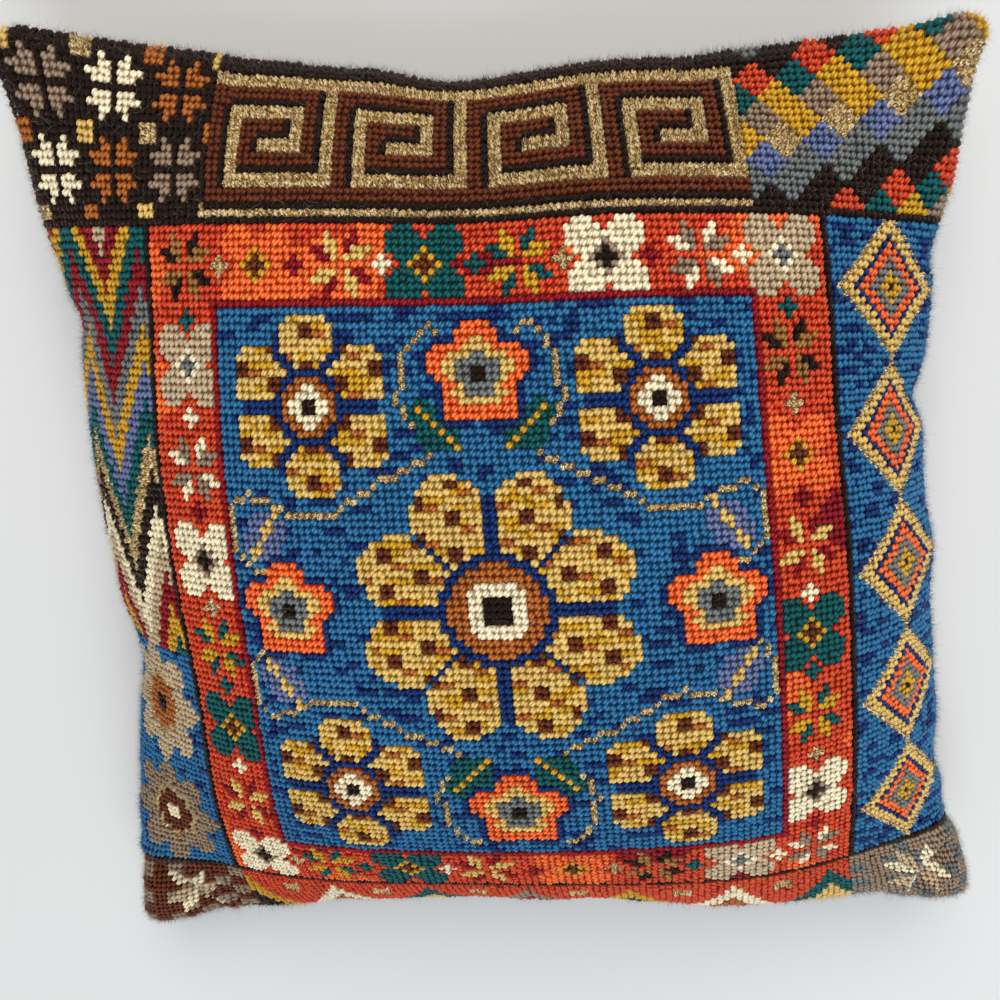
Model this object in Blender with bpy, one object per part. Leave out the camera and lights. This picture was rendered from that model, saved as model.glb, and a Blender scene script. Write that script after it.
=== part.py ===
"""Needlepoint cushion: a tent-stitched canvas panel sewn as the front of a filled cushion.

The cushion lies on its back with the needlework up (+Z) and the top of the design toward +Y.
"""
import bmesh
import bpy
import numpy as np

INCH = 0.0254
MM = 0.001

# Needlework panel, measured along the cloth
PANEL_SIDE = 14 * INCH          # seam to seam over the crown
PANEL_THICKNESS = 2.4 * MM      # canvas with its wool
PANEL_BIAS = 0.018              # lean of the upright threads, from the slant of the stitches
SEAM_TAKE_UP = 0.053            # share of the cloth that the seam gathers at a corner

# Filled shape
CROWN = 52 * MM                 # front crown above the edge roll
CROWN_FALL = 2.79               # power of the fall from crown to seam
CROWN_LEAN = (0.07, -0.08)      # how far the filling sits to the right and up
EDGE_RISE = 4.5 * MM            # half height of the rolled edge
EDGE_RUN = 7 * MM               # cloth taken by one side of the roll
CORNER_ROUND = 13 * MM          # cloth taken by the round of a corner tip
BACK_CROWN = 50 * MM            # free depth of the back below the edge roll
BACK_FALL = 2.9
SEAM_HEIGHT = 46 * MM           # seam level above the table
PIECE_GAP = 0.3 * MM

# Seam line: how far each side is drawn in at seven stations, in mm, from left to right or bottom to top
SIDE_DRAW = {
    "left": (5.4, 7.9, 14.1, 8.1, 5.4, 8.5, 2.4),
    "right": (18.6, 18.4, 15.1, 12.9, 15.0, 10.9, 7.5),
    "bottom": (13.1, 14.1, 16.7, 15.1, 11.8, 8.2, 8.5),
    "top": (0.4, -1.8, -2.0, 0.4, -5.6, -5.1, -3.1),
}
SIDES = (("left", 0, -1), ("right", 0, 1), ("bottom", 1, -1), ("top", 1, 1))

# Corner pulls in mm: side of the panel across and up, then (x, y, z) for the quarter and for its tip
CORNER_PULL = (
    (-1, 1, (17.8, 23.3, -17.0), (-17.9, 5.2, 20.6)),
    (1, 1, (-15.8, -18.3, -3.3), (19.0, 23.0, 5.6)),
    (-1, -1, (0.5, 6.5, -19.3), (-9.0, -8.8, -2.9)),
    (1, -1, (14.8, 22.6, -10.5), (-12.1, -9.7, -8.4)),
)
QUARTER_POWER, TIP_POWER = 3, 10

# Mesh stations along half the cloth, in mm from the middle of the panel
HALF_STATIONS = (0, 11, 22, 33, 44, 55, 66, 77, 88, 99, 110, 121, 132, 143, 154, 164, 171, 175, 177.8)

HALF = PANEL_SIDE / 2


def spline(t, values):
    """Smooth curve through the seven side stations, zero at both corners."""
    row = np.concatenate([[0, 0], values, [0, 0]])
    x = (np.clip(t, -1, 1) + 1) * 4
    i = np.clip(x.astype(int), 0, 7)
    f = x - i
    a, b, c, d = row[i], row[i + 1], row[i + 2], row[i + 3]
    return 0.5 * (2 * b + (c - a) * f + (2 * a - 5 * b + 4 * c - d) * f**2 + (3 * b - a - 3 * c + d) * f**3)


def run_on_table(across, along):
    """Distance covered on the table by cloth that also climbs: the threads keep their length."""
    height = CROWN * (1 - np.abs(along) ** CROWN_FALL)
    step = np.linspace(0, 1, 81)
    climb = height[..., None] * CROWN_FALL * (np.abs(across)[..., None] * step) ** (CROWN_FALL - 1)
    pace = np.sqrt(np.maximum(HALF**2 - climb**2, (0.02 * HALF) ** 2))
    mean = (pace[..., 1:] + pace[..., :-1]).mean(axis=-1) / 2
    return across * mean * (1 - SEAM_TAKE_UP * np.abs(along) ** 3)


def round_corners(u, v):
    """Bends the square of the cloth to a rounded square near its four corners."""
    reach = CORNER_ROUND / HALF
    a = np.clip((np.abs(u) - 1 + reach) / reach, 0, 1)
    b = np.clip((np.abs(v) - 1 + reach) / reach, 0, 1)
    less_u, less_v = a * (1 - np.sqrt(1 - b**2 / 2)), b * (1 - np.sqrt(1 - a**2 / 2))
    return u - np.sign(u) * less_u * reach, v - np.sign(v) * less_v * reach


def cloth(u, v, crown, fall, sense):
    """Point of the front (sense 1) or back (sense -1) for cloth coordinates from -1 to 1, seam level at z = 0."""
    edge = 1.0
    for w in (u, v):
        edge = edge * np.sqrt(np.maximum(1 - (1 - np.clip((1 - np.abs(w)) * HALF / EDGE_RUN, 0, 1)) ** 2, 0))
    u, v = round_corners(u, v)
    x, y = run_on_table(u, v), run_on_table(v, u)
    x = x - PANEL_BIAS * y
    swell = 1 + CROWN_LEAN[0] * u * (1 - u**2) + CROWN_LEAN[1] * v * (1 - v**2)
    z = sense * (crown * (1 - np.abs(u) ** fall) * (1 - np.abs(v) ** fall) * swell + EDGE_RISE * edge)
    p = np.stack([x, y, z], axis=-1)
    for side_u, side_v, quarter, tip in CORNER_PULL:
        near = np.clip((1 + side_u * u) / 2, 0, 1) * np.clip((1 + side_v * v) / 2, 0, 1)
        for pull, power in ((quarter, QUARTER_POWER), (tip, TIP_POWER)):
            p = p + (near**power)[..., None] * np.array(pull) * MM
    for name, axis, side in SIDES:
        out, along = (u, v) if axis == 0 else (v, u)
        draw = np.clip(side * out, 0, 1) ** 3 * spline(along, SIDE_DRAW[name]) * MM
        p[..., axis] -= side * draw
    return p


def front(u, v, depth=0.0):
    """Front cloth on the grid of stations, moved in by depth along its own normal, level at the seam."""
    p = cloth(u, v, CROWN, CROWN_FALL, 1)
    if depth == 0:
        return p
    h = 2e-3
    uc, vc = np.clip(u, h - 1, 1 - h), np.clip(v, h - 1, 1 - h)
    du = cloth(uc + h, vc, CROWN, CROWN_FALL, 1) - cloth(uc - h, vc, CROWN, CROWN_FALL, 1)
    dv = cloth(uc, vc + h, CROWN, CROWN_FALL, 1) - cloth(uc, vc - h, CROWN, CROWN_FALL, 1)
    n = np.cross(du, dv)
    rim = rim_of(np.arange(p.shape[0] * p.shape[1]).reshape(p.shape[:2]))
    line = p.reshape(-1, 3)[rim]
    run = np.roll(line, -1, axis=0) - np.roll(line, 1, axis=0)
    n.reshape(-1, 3)[rim] = np.stack([run[:, 1], -run[:, 0], 0 * run[:, 0]], axis=-1)
    return p - depth * n / np.linalg.norm(n, axis=-1, keepdims=True)


def back(u, v):
    """Back cloth with the patch that the cushion's weight flattens on the table."""
    p = cloth(u, v, BACK_CROWN, BACK_FALL, -1)
    p[..., 2] = np.maximum(p[..., 2] - PIECE_GAP, -SEAM_HEIGHT)
    return p


def layer(bm, points):
    """One grid of cloth as vertices of the mesh."""
    return [[bm.verts.new(p) for p in row] for row in points]


def rim_of(grid):
    n = len(grid) - 1
    ring = [grid[i][0] for i in range(n)] + [grid[n][j] for j in range(n)]
    return ring + [grid[i][n] for i in range(n, 0, -1)] + [grid[0][j] for j in range(n, 0, -1)]


def skin(bm, grid, up):
    for i in range(len(grid) - 1):
        for j in range(len(grid) - 1):
            a, b, c, d = grid[i][j], grid[i + 1][j], grid[i + 1][j + 1], grid[i][j + 1]
            bm.faces.new((a, b, c, d) if up else (a, d, c, b))


def close(bm, rings):
    """Bands between rings that run anticlockwise seen from above, given from top to bottom."""
    for high, low in zip(rings, rings[1:]):
        for k in range(len(high)):
            m = (k + 1) % len(high)
            bm.faces.new((high[k], low[k], low[m], high[m]))


def finish(bm, name, colour, roughness, collection, move):
    """Triangulates, writes the mesh and gives it its one material."""
    bmesh.ops.translate(bm, verts=bm.verts, vec=move)
    bmesh.ops.triangulate(bm, faces=bm.faces[:], quad_method="FIXED")
    mesh = bpy.data.meshes.new(name)
    bm.to_mesh(mesh)
    bm.free()
    obj = bpy.data.objects.new(name, mesh)
    material = bpy.data.materials.new(name)
    material.use_nodes = True
    shader = material.node_tree.nodes["Principled BSDF"]
    shader.inputs["Base Color"].default_value = (*colour, 1)
    shader.inputs["Roughness"].default_value = roughness
    shader.inputs["Metallic"].default_value = 0
    mesh.materials.append(material)
    collection.objects.link(obj)


for old in list(bpy.data.objects):
    bpy.data.objects.remove(old, do_unlink=True)
collection = bpy.data.collections.new("needlepoint_cushion")
bpy.context.scene.collection.children.link(collection)

half = np.array(HALF_STATIONS) * MM / HALF
half[-1] = 1.0
stations = np.concatenate([-half[:0:-1], half])
U, V = np.meshgrid(stations, stations, indexing="ij")

face = front(U, V)
move = (-(face[..., 0].min() + face[..., 0].max()) / 2, -(face[..., 1].min() + face[..., 1].max()) / 2, SEAM_HEIGHT)

# The worked canvas: one sheet from seam to seam, its cut edge turned down at the seam.
bm = bmesh.new()
outer = layer(bm, face)
inner = layer(bm, front(U, V, PANEL_THICKNESS))
skin(bm, outer, True)
skin(bm, inner, False)
close(bm, [rim_of(outer), rim_of(inner)])
finish(bm, "needlepoint_panel", (0.10, 0.16, 0.30), 0.95, collection, move)

# The filled cushion: filling under the canvas, and the plain back cloth that meets the canvas at the seam.
bm = bmesh.new()
filling = front(U, V, PANEL_THICKNESS + PIECE_GAP)
top = layer(bm, filling)
bottom = layer(bm, back(U, V))
ledge = [bm.verts.new((v.co.x, v.co.y, v.co.z - PIECE_GAP)) for v in rim_of(top)]
skin(bm, top, True)
skin(bm, bottom, False)
close(bm, [rim_of(top), ledge, rim_of(bottom)])
finish(bm, "cushion_body", (0.13, 0.10, 0.08), 0.9, collection, move)
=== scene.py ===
"""Looks of the needlepoint cushion: a tent-stitched canvas panel sewn as the front of a filled cushion.

The cushion lies on its back with the needlework up (+Z) and the top of the design toward +Y.
"""
import math

import bpy
import numpy as np
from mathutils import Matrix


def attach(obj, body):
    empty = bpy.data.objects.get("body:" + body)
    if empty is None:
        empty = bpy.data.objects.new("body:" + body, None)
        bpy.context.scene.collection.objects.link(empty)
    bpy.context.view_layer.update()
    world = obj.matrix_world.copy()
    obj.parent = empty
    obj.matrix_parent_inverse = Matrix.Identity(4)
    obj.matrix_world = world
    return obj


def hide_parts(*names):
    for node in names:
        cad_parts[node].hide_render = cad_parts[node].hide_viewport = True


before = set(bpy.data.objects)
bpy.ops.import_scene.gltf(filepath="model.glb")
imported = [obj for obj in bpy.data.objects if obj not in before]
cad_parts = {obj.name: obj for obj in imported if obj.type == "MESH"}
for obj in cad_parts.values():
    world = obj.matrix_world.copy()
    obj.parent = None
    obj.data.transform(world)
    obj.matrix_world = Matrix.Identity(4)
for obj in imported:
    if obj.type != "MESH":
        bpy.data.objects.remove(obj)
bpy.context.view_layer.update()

# Worked cloth
# The shape that the needlework takes: a 14 inch square of stiff cotton canvas, ten and a half meshes to the
# inch, sewn to the back along its four sides and pushed up to a soft crown by the filling. Its threads keep
# their length, so the outline draws in between the corners. The needlework and the filling lie on this shape.
INCH, MM = 0.0254, 0.001
PANEL_SIDE = 14 * INCH
STITCHES = 148                  # meshes along one side
HALF = PANEL_SIDE / 2
PANEL_BIAS = 0.018              # lean that the slanting stitches give to the upright threads
SEAM_TAKE_UP = 0.053            # share of the cloth that the seam gathers at a corner
CROWN = 52 * MM                 # front crown above the rolled edge
CROWN_FALL = 2.79               # power of the fall from crown to seam
CROWN_LEAN = (0.07, -0.08)      # how far the filling sits to the right and up
EDGE_RISE = 4.5 * MM            # half height of the rolled edge
EDGE_RUN = 7 * MM               # cloth taken by one side of the roll
CORNER_ROUND = 13 * MM          # cloth taken by the round of a corner tip
SEAM_HEIGHT = 46 * MM
MIDDLE_OF_CLOTH = (-0.90 * MM, -13.27 * MM)     # from the middle of the cushion, which its corners move
SIDE_DRAW = {                   # mm drawn in at seven stations, left to right or bottom to top
    "left": (5.4, 7.9, 14.1, 8.1, 5.4, 8.5, 2.4),
    "right": (18.6, 18.4, 15.1, 12.9, 15.0, 10.9, 7.5),
    "bottom": (13.1, 14.1, 16.7, 15.1, 11.8, 8.2, 8.5),
    "top": (0.4, -1.8, -2.0, 0.4, -5.6, -5.1, -3.1),
}
SIDES = (("left", 0, -1), ("right", 0, 1), ("bottom", 1, -1), ("top", 1, 1))
CORNER_PULL = (                 # mm that the quarter and then its tip are pulled along x, y and z
    (-1, 1, (17.8, 23.3, -17.0), (-17.9, 5.2, 20.6)),
    (1, 1, (-15.8, -18.3, -3.3), (19.0, 23.0, 5.6)),
    (-1, -1, (0.5, 6.5, -19.3), (-9.0, -8.8, -2.9)),
    (1, -1, (14.8, 22.6, -10.5), (-12.1, -9.7, -8.4)),
)
QUARTER_POWER, TIP_POWER = 3, 10
PUCKERS = {                     # by side: stitch along it, stitches wide, mm out at the seam, mm deep inside
    "left": (
        (26, 4, 1.5, 0.0), (50, 8, 1.7, 0.0), (57, 5, -1.6, 0.6), (68, 4, 1.5, 0.0), (104, 7, 1.6, 0.0),
        (110, 2.4, -1.6, 1.5), (114, 3, 1.2, 0.0), (122, 9, 3.4, -1.0), (130, 5, 0.6, 0.0)),
    "right": (
        (4, 3, -2.2, 0.0), (12, 7, -1.4, 0.0), (14, 3.5, 2.2, 0.0), (26, 3, 1.2, 0.0), (32, 6, -1.8, 0.8),
        (40, 4, 0.9, 0.0), (64, 8, -1.1, 0.0), (71, 5, 1.4, 0.0), (78, 5, -0.6, 0.0), (87, 4, -1.3, 0.0),
        (89, 5, 3.0, -0.8), (97, 2.5, -2.4, 2.4), (101, 3, -1.2, 0.0), (103, 5, 1.6, -0.8),
        (113, 5, 1.0, 0.0), (120, 5, -1.8, 0.8), (124, 4, 0.9, 0.0), (130, 5, 2.1, -0.6),
        (142, 2.5, -1.3, 0.0), (147, 3, 2.2, 0.0)),
    "bottom": (
        (4, 4, -0.9, 0.0), (21, 3, -1.4, 0.0), (26, 5, 1.1, -0.4), (39, 5, -3.0, 0.8), (50, 5, -0.7, 0.0),
        (62, 5, -1.1, 0.6), (67, 3, -0.9, 0.0), (83, 3, -1.9, 0.0), (84, 6, -2.4, 1.0), (102, 6, 1.6, -0.6),
        (129, 4, -1.3, 0.0), (137, 5, 1.8, 0.0)),
    "top": (
        (30, 20, 1.1, 0.0), (38, 4, -0.8, 0.8), (60, 5, 1.3, 0.0), (79, 5, 0.8, -0.6),
        (108, 4, -0.8, 0.8), (122, 18, 1.3, 0.0), (145, 3, 1.2, 0.0)),
}
PUCKER_FALL, HOLLOW_FALL = 14, 5        # powers of their fall away from the seam
SEAM_HOLD = 30                  # power of the fall that keeps the seam itself in place
# The fold across each lower ear: side across, side up and stitches from the tip, then in mm how far the
# cushion hangs over it, how far it rises behind and sinks in the fold, and how far the ear itself rises.
EAR_FOLDS = (
    (-1, -1, 18.5, 5.4, 2.4, 7.0, 2.2),
    (1, -1, 15.5, 4.0, 1.6, 4.6, 2.4),
)
# Where each lies: stitches behind the fold and how wide, or in shares of the ear's length for its own rise.
HANG_AT, RISE_AT, SINK_AT, EAR_AT = (0.8, 1.8), (4, 3), (-2.4, 2.8), (-0.55, 0.25)
SINK_AT_SEAM = 0.3              # share of its depth that the fold keeps at the seams
MID_EAR = 0.55                  # radians to each side of an ear's middle where the fold is deepest
FINE = 4                        # places to a mesh where the cloth's shape is worked out


def side_curve(t, values):
    """Smooth curve through the seven stations of a side, zero at both corners."""
    row = np.concatenate([[0, 0], values, [0, 0]])
    x = (np.clip(t, -1, 1) + 1) * 4
    i = np.clip(x.astype(int), 0, 7)
    f = x - i
    a, b, c, d = row[i], row[i + 1], row[i + 2], row[i + 3]
    return 0.5 * (2 * b + (c - a) * f + (2 * a - 5 * b + 4 * c - d) * f**2 + (3 * b - a - 3 * c + d) * f**3)


def run_on_table(across, along):
    """Distance covered on the table by cloth that also climbs: the threads keep their length."""
    height = CROWN * (1 - np.abs(along) ** CROWN_FALL)
    step = np.linspace(0, 1, 61)
    climb = height[..., None] * CROWN_FALL * (np.abs(across)[..., None] * step) ** (CROWN_FALL - 1)
    pace = np.sqrt(np.maximum(HALF**2 - climb**2, (0.02 * HALF) ** 2))
    mean = (pace[..., 1:] + pace[..., :-1]).mean(axis=-1) / 2
    return across * mean * (1 - SEAM_TAKE_UP * np.abs(along) ** 3)


def round_corners(u, v):
    """Bends the square of the cloth to a rounded square near its four corners."""
    reach = CORNER_ROUND / HALF
    a = np.clip((np.abs(u) - 1 + reach) / reach, 0, 1)
    b = np.clip((np.abs(v) - 1 + reach) / reach, 0, 1)
    less_u, less_v = a * (1 - np.sqrt(1 - b**2 / 2)), b * (1 - np.sqrt(1 - a**2 / 2))
    return u - np.sign(u) * less_u * reach, v - np.sign(v) * less_v * reach


def bump(x, middle, width):
    """Smooth swell that is 1 at the middle and gone two widths from it."""
    return np.exp(-((x - middle) / width) ** 2)


def off_seam(u, v):
    """1 over the panel, falling to 0 right at the seam."""
    return 1 - np.maximum(abs(u), abs(v)) ** SEAM_HOLD


def add_ear_folds(p, u, v, sense):
    """Moves points by the soft fold where each lower ear leaves the filling, deepest between the seams."""
    inside = off_seam(u, v)
    for side_u, side_v, fold, over, rise, sink, ear in EAR_FOLDS:
        a, b = 1 - side_u * u, 1 - side_v * v
        far = np.hypot(a, b) * STITCHES / 2 - fold
        hang = 0.7 * over * MM * bump(far, *HANG_AT) * inside**0.5      # 0.7 of it along each side
        p[..., 0] += side_u * hang
        p[..., 1] += side_v * hang
        between = bump(np.arctan2(a, b + 1e-9), np.pi / 4, MID_EAR)
        deep = SINK_AT_SEAM + (1 - SINK_AT_SEAM) * between
        level = rise * bump(far, *RISE_AT) - sink * deep * bump(far, *SINK_AT)
        level += ear * bump(far, EAR_AT[0] * fold, EAR_AT[1] * fold)
        p[..., 2] += sense * level * MM * inside


def cloth_point(u, v, crown=CROWN, fall=CROWN_FALL, sense=1):
    """Points of the front (sense 1) or back (sense -1), for places from -1 to 1, seam level at z = 0."""
    edge = 1.0
    for w in (u, v):
        in_roll = np.clip((1 - np.abs(w)) * HALF / EDGE_RUN, 0, 1)
        edge = edge * np.sqrt(np.maximum(1 - (1 - in_roll) ** 2, 0))
    u, v = round_corners(u, v)
    x, y = run_on_table(u, v), run_on_table(v, u)
    x = x - PANEL_BIAS * y
    swell = 1 + CROWN_LEAN[0] * u * (1 - u**2) + CROWN_LEAN[1] * v * (1 - v**2)
    z = sense * (crown * (1 - np.abs(u) ** fall) * (1 - np.abs(v) ** fall) * swell + EDGE_RISE * edge)
    p = np.stack([x, y, z], axis=-1)
    for side_u, side_v, quarter, tip in CORNER_PULL:
        near = np.clip((1 + side_u * u) / 2, 0, 1) * np.clip((1 + side_v * v) / 2, 0, 1)
        for pull, power in ((quarter, QUARTER_POWER), (tip, TIP_POWER)):
            p = p + (near**power)[..., None] * np.array(pull) * MM
    for name, axis, side in SIDES:
        out, along = (u, v) if axis == 0 else (v, u)
        near = np.clip(side * out, 0, 1)
        p[..., axis] -= side * near**3 * side_curve(along, SIDE_DRAW[name]) * MM
        for stitch, wide, pushed, deep in PUCKERS[name]:
            swell = bump(along * STITCHES / 2 + STITCHES / 2, stitch, wide)
            p[..., axis] += side * pushed * MM * swell * near**PUCKER_FALL
            p[..., 2] -= sense * deep * MM * swell * near**HOLLOW_FALL * (1 - near**SEAM_HOLD)
    add_ear_folds(p, u, v, sense)
    return p


def facing(grid):
    """Unit normals of a grid of points."""
    n = np.cross(np.gradient(grid, axis=0), np.gradient(grid, axis=1))
    for _ in range(2):
        n[1:-1, 1:-1] = (n[1:-1, 1:-1] * 2 + n[:-2, 1:-1] + n[2:, 1:-1] + n[1:-1, :-2] + n[1:-1, 2:]) / 6
    return n / np.maximum(np.linalg.norm(n, axis=-1, keepdims=True), 1e-12)


station = np.linspace(-1, 1, STITCHES * FINE + 1)
worked = np.stack([cloth_point(np.full_like(station, u), station) for u in station])
shift = np.array([*MIDDLE_OF_CLOTH, SEAM_HEIGHT])
worked += shift
worked_normal = facing(worked)

# Lumps in the filling and the slight unevenness of hand work, flat at the seam. Longer ones stand higher.
LUMPS, LUMP_WAVES, LUMP_HEIGHT = 34, (3.0, 11.0), 0.42          # count, radians to half a side, mm
LUMP_FADE = 9                   # they rise to full height over a ninth of half the panel
hand = np.random.default_rng(1405)
U, V = np.meshgrid(station, station, indexing="ij")
lump = np.zeros_like(U)
for _ in range(LUMPS):
    wave, turn, phase = hand.uniform(*LUMP_WAVES), hand.uniform(0, 2 * np.pi), hand.uniform(0, 2 * np.pi)
    lump += 1.5 / wave * np.cos(wave * (U * math.cos(turn) + V * math.sin(turn)) + phase)
lump *= LUMP_HEIGHT * np.clip((1 - np.maximum(abs(U), abs(V))) * LUMP_FADE, 0, 1)
worked += worked_normal * (lump * MM)[..., None]
worked_normal = facing(worked)


def on_cloth(across, up, lift):
    """Points of the worked side: across and up in stitches from its lower left corner, lift in metres."""
    x, y = (np.clip(w * FINE, 0, STITCHES * FINE - 1e-6) for w in (across, up))
    i, j = x.astype(int), y.astype(int)
    f, g = (x - i)[..., None], (y - j)[..., None]
    p, n = (
        (k[i, j] * (1 - f) + k[i + 1, j] * f) * (1 - g) + (k[i, j + 1] * (1 - f) + k[i + 1, j + 1] * f) * g
        for k in (worked, worked_normal))
    return p + n * np.asarray(lift)[..., None]


# Chart
# What a stitcher counts from: one yarn for each mesh of the canvas, 148 by 148. Round a flowered blue field
# in a red-orange frame lie a star block, a key band, a harlequin block, a flame band, a diamond band and a
# row of teeth, all of them common traditional patterns.
YARNS = (
    "mid_blue", "navy", "periwinkle", "teal", "orange_red", "bright_orange", "crimson", "mustard", "straw",
    "cream", "stone", "caramel", "tan", "chocolate", "black_brown", "slate", "taupe", "gold")
yarn = {name: i for i, name in enumerate(YARNS)}
chart = np.full((STITCHES, STITCHES), yarn["black_brown"])      # rows from the bottom, columns from the left
row, col = np.mgrid[0:STITCHES, 0:STITCHES]
RING, LOW_RING, FRAME = 24, 18, 12          # widths of the bands and of the frame, in stitches
LEFT, LOW = RING, LOW_RING
RIGHT = TOP = STITCHES - RING


def block(left, bottom, width, height):
    """The part of the chart that a rectangle covers."""
    return slice(bottom, bottom + height), slice(left, left + width)


def dashes(shape, share, longest=3):
    """Short sideways runs of stitches scattered over an area."""
    out = np.zeros(shape, bool)
    for _ in range(int(share * shape[0] * shape[1] / (0.55 * longest + 0.5))):
        r, c, k = hand.integers(shape[0]), hand.integers(shape[1]), hand.integers(1, longest + 1)
        out[r, c:c + k] = True
    return out


def soft_patches(shape, size):
    """Broad areas, roughly from -2 to 2, where the stitcher changed the strand."""
    coarse = hand.normal(size=(shape[0] // size + 3, shape[1] // size + 3))
    y, x = np.arange(shape[0]) / size, np.arange(shape[1]) / size
    i, j = y.astype(int), x.astype(int)
    fy, fx = (y - i)[:, None], (x - j)[None, :]
    a, b = coarse[np.ix_(i, j)], coarse[np.ix_(i, j + 1)]
    c, d = coarse[np.ix_(i + 1, j)], coarse[np.ix_(i + 1, j + 1)]
    return (a * (1 - fx) + b * fx) * (1 - fy) + (c * (1 - fx) + d * fx) * fy


def blue_ground(area, navy_share):
    """Blue with short navy runs in it."""
    chart[area] = yarn["mid_blue"]
    chart[area][dashes(chart[area].shape, navy_share)] = yarn["navy"]


def rosette(x, y, petals, reach, rings, turn=0.0, waist=0.3):
    """Round flower: rings are (share of its reach, yarn) from the rim inwards. Gives each mesh's share."""
    angle = np.arctan2(row - y, col - x) + turn
    lobe = 1 - waist + waist * abs(np.cos(petals * angle / 2)) ** 0.7
    far = np.hypot(col - x, row - y) / (reach * lobe)
    for share, name in rings:
        chart[far <= share] = yarn[name]
    return far


def star(x, y, k, light, dark):
    """Eight-pointed star of slanted petals, 4k + 1 stitches across."""
    dx, dy = col - x, row - y
    a, b = np.maximum(abs(dx), abs(dy)), np.minimum(abs(dx), abs(dy))
    petal = (b >= 1) & (b <= k) & (a > b) & (a <= b + k)
    side = (abs(dx) > abs(dy)) ^ (dx > 0) ^ (dy > 0)
    chart[petal & side] = yarn[light]
    chart[petal & ~side] = yarn[dark]
    chart[(a == b) & (b <= k) & (b >= 1)] = yarn[light]


# Red-orange frame: four-petalled flowers and stars in turn, with small diamonds between.
area = block(LEFT, LOW, RIGHT - LEFT, TOP - LOW)
chart[area] = yarn["orange_red"]
patch = soft_patches(chart[area].shape, 9)
chart[area][patch > 0.9] = yarn["bright_orange"]
chart[area][patch < -1.1] = yarn["crimson"]
turns = (                       # petals, heart and eye
    ("cream", "taupe", "black_brown"), ("straw", "crimson", "mustard"), ("stone", "cream", "slate"),
    ("mustard", "teal", "black_brown"), ("bright_orange", "mustard", "chocolate"),
    ("taupe", "cream", "crimson"), ("teal", "mustard", "chocolate"), ("tan", "black_brown", "gold"))
ALONG_SIDE = 8                  # flowers and stars along one side
middle = FRAME // 2
xs = np.linspace(LEFT + middle, RIGHT - 1 - middle, ALONG_SIDE).round().astype(int)
ys = np.linspace(LOW + middle, TOP - 1 - middle, ALONG_SIDE).round().astype(int)
ring = [(x, ys[0]) for x in xs] + [(xs[-1], y) for y in ys[1:]]
ring += [(x, ys[-1]) for x in xs[-2::-1]] + [(xs[0], y) for y in ys[-2:0:-1]]
for k, (x, y) in enumerate(ring):
    petal_yarn, heart, eye = turns[k * 3 % len(turns)]
    if k % 2 == 0:
        rosette(x, y, 4, 6.6, [(1.0, petal_yarn)], np.pi / 4, waist=0.5)
        near = abs(col - x) + abs(row - y)
        chart[near <= 2] = yarn[heart]
        chart[near <= 1] = yarn[eye]
    else:
        star(x, y, 2, petal_yarn, heart)
    after = ring[(k + 1) % len(ring)]
    near = abs(col - round((x + after[0]) / 2)) + abs(row - round((y + after[1]) / 2))
    chart[near <= 1] = yarn[("gold", "teal", "cream", "crimson")[k % 4]]

# Blue field: five seeded straw flowers, small orange ones between them, leaves, and a vine of gold thread.
left, bottom = LEFT + FRAME, LOW + FRAME
width, height = RIGHT - FRAME - left, TOP - FRAME - bottom
chart[block(left - 1, bottom - 1, width + 2, height + 2)] = yarn["crimson"]
blue_ground(block(left, bottom, width, height), 0.22)
cx, cy = left + (width - 1) / 2, bottom + (height - 1) / 2


def vine(points):
    """One-stitch line of gold along a smooth curve through points."""
    p = np.array(points, float)
    q = np.vstack([2 * p[0] - p[1], p, 2 * p[-1] - p[-2]])
    trail = []
    for a, b, c, d in zip(q, q[1:], q[2:], q[3:]):
        for f in np.linspace(0, 1, 80):
            s = 2 * b + (c - a) * f + (2 * a - 5 * b + 4 * c - d) * f**2 + (3 * b - a - 3 * c + d) * f**3
            mesh = (int(round(0.5 * s[1])), int(round(0.5 * s[0])))
            if not trail or mesh != trail[-1]:
                trail.append(mesh)
            if len(trail) > 2 and max(abs(trail[-1][0] - trail[-3][0]), abs(trail[-1][1] - trail[-3][1])) < 2:
                del trail[-2]           # cuts the corner, so the line stays one stitch wide
    for mesh in trail:
        chart[mesh] = yarn["gold"]


def leaf(x, y, angle, reach, blade, rib):
    """Pointed leaf from its stalk at x, y, with a rib of one stitch."""
    a = (col - x) * math.cos(angle) + (row - y) * math.sin(angle)
    b = (row - y) * math.cos(angle) - (col - x) * math.sin(angle)
    inside = (a > 0) & (a < reach) & (abs(b) < 0.34 * reach * np.sin(np.pi * np.clip(a / reach, 0, 1)) ** 0.8)
    chart[inside] = yarn[blade]
    chart[inside & (abs(b) < 0.5)] = yarn[rib]


def seeded_flower(x, y, reach, petals, turn):
    """Straw petals with uneven strands, brown seeds and navy lines between them, round a ringed heart."""
    far = rosette(x, y, petals, reach, [(1.0, "straw")], turn)
    inside = (far <= 0.97) & (far > 0.40)
    chart[inside & dashes(chart.shape, 0.34, 4)] = yarn["mustard"]
    i, j = col - int(x), row - int(y)
    chart[inside & (i % 5 < 2) & ((j + 2 * ((i // 5) % 2)) % 5 < 2)] = yarn["chocolate"]
    chart[inside & ((i + 3) % 5 < 2) & ((j + 3 + 2 * (((i + 3) // 5) % 2)) % 5 < 1)] = yarn["caramel"]
    step = 2 * np.pi / petals
    angle = (np.arctan2(row - y, col - x) + turn + np.pi / petals) % step
    far_round = np.hypot(col - x, row - y)
    line = np.minimum(angle, step - angle) * far_round < 0.7
    chart[line & (far > 0.38) & (far < 1.02)] = yarn["navy"]
    for share, name in ((0.40, "navy"), (0.34, "caramel"), (0.22, "cream"), (0.11, "black_brown")):
        chart[far_round <= share * reach] = yarn[name]


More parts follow.
